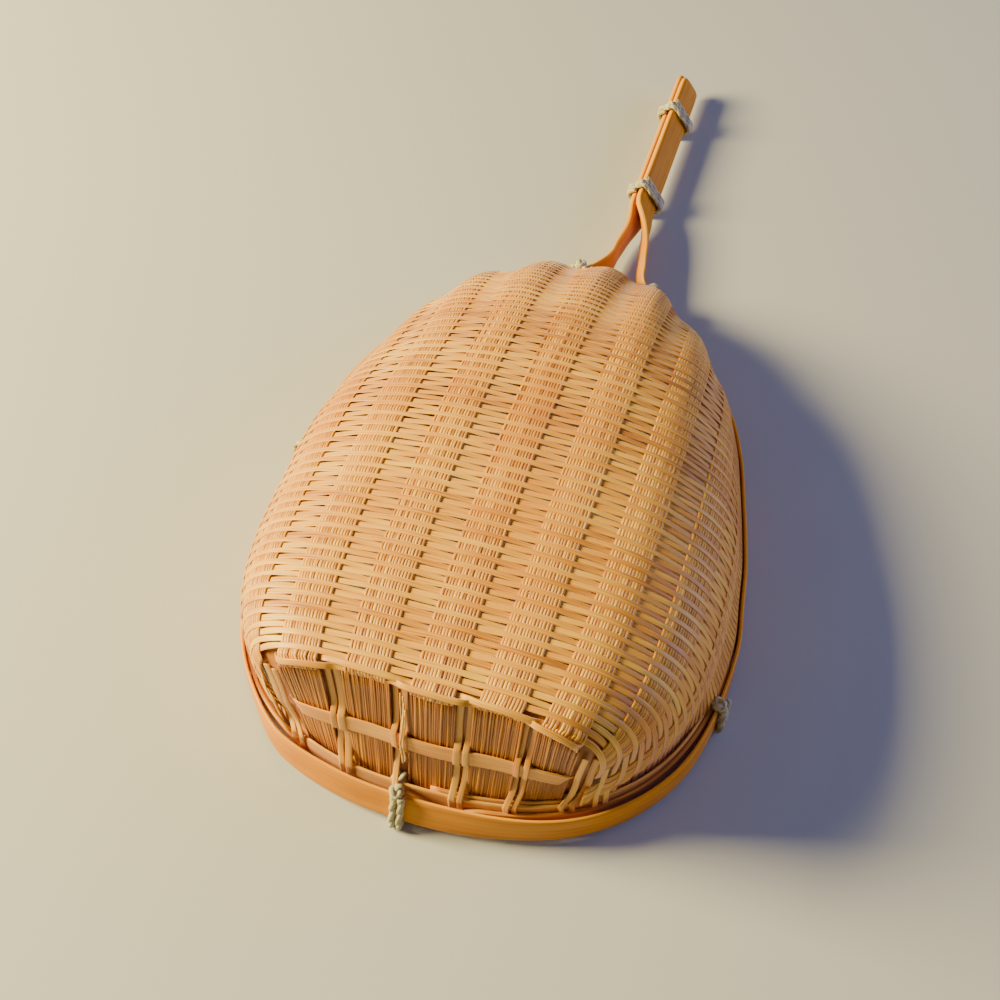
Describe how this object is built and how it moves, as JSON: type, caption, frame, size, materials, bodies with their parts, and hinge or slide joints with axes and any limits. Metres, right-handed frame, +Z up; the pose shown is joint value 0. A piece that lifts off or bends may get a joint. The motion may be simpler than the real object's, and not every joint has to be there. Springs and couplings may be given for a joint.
{
  "type": "scoop basket",
  "caption": "Small hand-woven split-bamboo scoop basket with a bent rim hoop whose ends form the handle, tied with twine.",
  "frame": {"origin": "centre of the footprint, on the surface that the basket lies on, rim down", "axes": "+Y along the handle, away from the front of the scoop; +Z up, through the basket's bottom; +X to the right"},
  "size_m": [0.1192, 0.2604, 0.0463],
  "materials": {
    "hoop_bamboo": "smooth bamboo skin, satin",
    "pale_bamboo": "split bamboo, matt",
    "weaver_bamboo": "split bamboo, satin",
    "strand_bamboo": "combed bamboo strands, matt",
    "twine": "two-ply natural fibre"
  },
  "bodies": {
    "root": {"rim_hoop_outer": "hoop_bamboo", "rim_hoop_middle": "pale_bamboo", "rim_hoop_inner": "pale_bamboo", "warp_band_1": "strand_bamboo", "warp_band_2": "strand_bamboo", "warp_band_3": "strand_bamboo", "warp_band_4": "strand_bamboo", "warp_band_5": "strand_bamboo", "warp_band_6": "strand_bamboo", "warp_band_7": "strand_bamboo", "warp_band_8": "strand_bamboo", "warp_band_9": "strand_bamboo", "weaver_1": "weaver_bamboo", "weaver_2": "weaver_bamboo", "weaver_3": "weaver_bamboo", "weaver_4": "weaver_bamboo", "weaver_5": "weaver_bamboo", "weaver_6": "weaver_bamboo", "weaver_7": "weaver_bamboo", "weaver_8": "weaver_bamboo", "weaver_9": "weaver_bamboo", "weaver_10": "weaver_bamboo", "weaver_11": "weaver_bamboo", "weaver_12": "weaver_bamboo", "weaver_13": "weaver_bamboo", "weaver_14": "weaver_bamboo", "weaver_15": "weaver_bamboo", "weaver_16": "weaver_bamboo", "weaver_17": "weaver_bamboo", "weaver_18": "weaver_bamboo", "weaver_19": "weaver_bamboo", "weaver_20": "weaver_bamboo", "weaver_21": "weaver_bamboo", "weaver_22": "weaver_bamboo", "weaver_23": "weaver_bamboo", "weaver_24": "weaver_bamboo", "weaver_25": "weaver_bamboo", "weaver_26": "weaver_bamboo", "front_cross_strip": "strand_bamboo", "fold_strip_outer": "weaver_bamboo", "fold_strip_inner": "weaver_bamboo", "front_stake_1": "pale_bamboo", "front_stake_2": "pale_bamboo", "front_stake_3": "pale_bamboo", "front_stake_4": "pale_bamboo", "front_stake_5": "pale_bamboo", "front_stake_6": "pale_bamboo", "front_stake_7": "pale_bamboo", "front_stake_8": "pale_bamboo", "corner_stake_left": "pale_bamboo", "corner_stake_right": "pale_bamboo", "lashing_front": "twine", "lashing_right": "twine", "lashing_left": "twine", "lashing_neck_right": "twine", "lashing_neck_left": "twine", "lashing_handle_lower": "twine", "lashing_handle_upper": "twine"}
  },
  "joints": []
}
